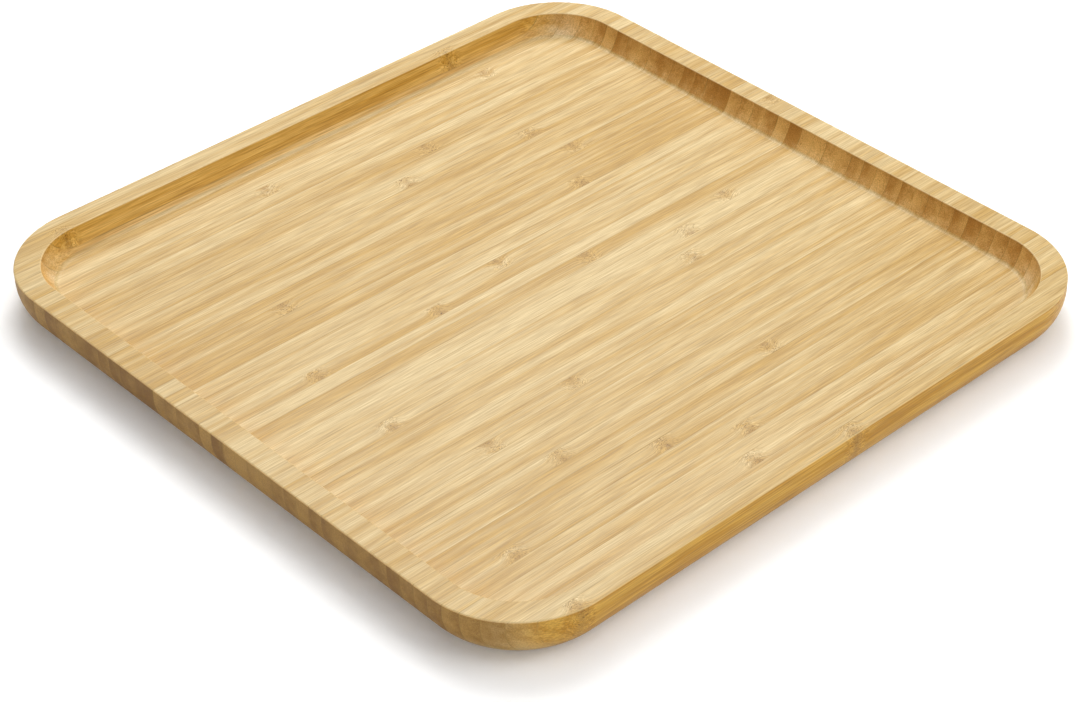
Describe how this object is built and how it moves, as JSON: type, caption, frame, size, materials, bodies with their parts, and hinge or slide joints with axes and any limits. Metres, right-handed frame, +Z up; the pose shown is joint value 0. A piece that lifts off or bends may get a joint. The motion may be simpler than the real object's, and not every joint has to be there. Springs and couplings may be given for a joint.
{
  "type": "serving tray",
  "caption": "Square bamboo serving tray with rounded corners, a shallow sloping-sided well, a flat rim and an undercut edge.",
  "frame": {"origin": "centre of the base, on the surface that the tray stands on", "axes": "+Z up, +X along the bamboo strips, -Y towards the front"},
  "size_m": [0.33, 0.33, 0.02],
  "materials": {
    "bamboo": "satin lacquer"
  },
  "bodies": {
    "root": {"back_rim_strip_1": "bamboo", "back_rim_strip_2": "bamboo", "floor_strip_01": "bamboo", "floor_strip_02": "bamboo", "floor_strip_03": "bamboo", "floor_strip_04": "bamboo", "floor_strip_05": "bamboo", "floor_strip_06": "bamboo", "floor_strip_07": "bamboo", "floor_strip_08": "bamboo", "floor_strip_09": "bamboo", "floor_strip_10": "bamboo", "floor_strip_11": "bamboo", "floor_strip_12": "bamboo", "floor_strip_13": "bamboo", "floor_strip_14": "bamboo", "floor_strip_15": "bamboo", "floor_strip_16": "bamboo", "floor_strip_17": "bamboo", "floor_strip_18": "bamboo", "floor_strip_19": "bamboo", "floor_strip_20": "bamboo", "floor_strip_21": "bamboo", "floor_strip_22": "bamboo", "floor_strip_23": "bamboo", "floor_strip_24": "bamboo", "floor_strip_25": "bamboo", "floor_strip_26": "bamboo", "floor_strip_27": "bamboo", "floor_strip_28": "bamboo", "floor_strip_29": "bamboo", "floor_strip_30": "bamboo", "floor_strip_31": "bamboo", "floor_strip_32": "bamboo", "floor_strip_33": "bamboo", "floor_strip_34": "bamboo", "floor_strip_35": "bamboo", "floor_strip_36": "bamboo", "floor_strip_37": "bamboo", "floor_strip_38": "bamboo", "floor_strip_39": "bamboo", "floor_strip_40": "bamboo", "floor_strip_41": "bamboo", "front_rim_strip_1": "bamboo", "front_rim_strip_2": "bamboo"}
  },
  "joints": []
}
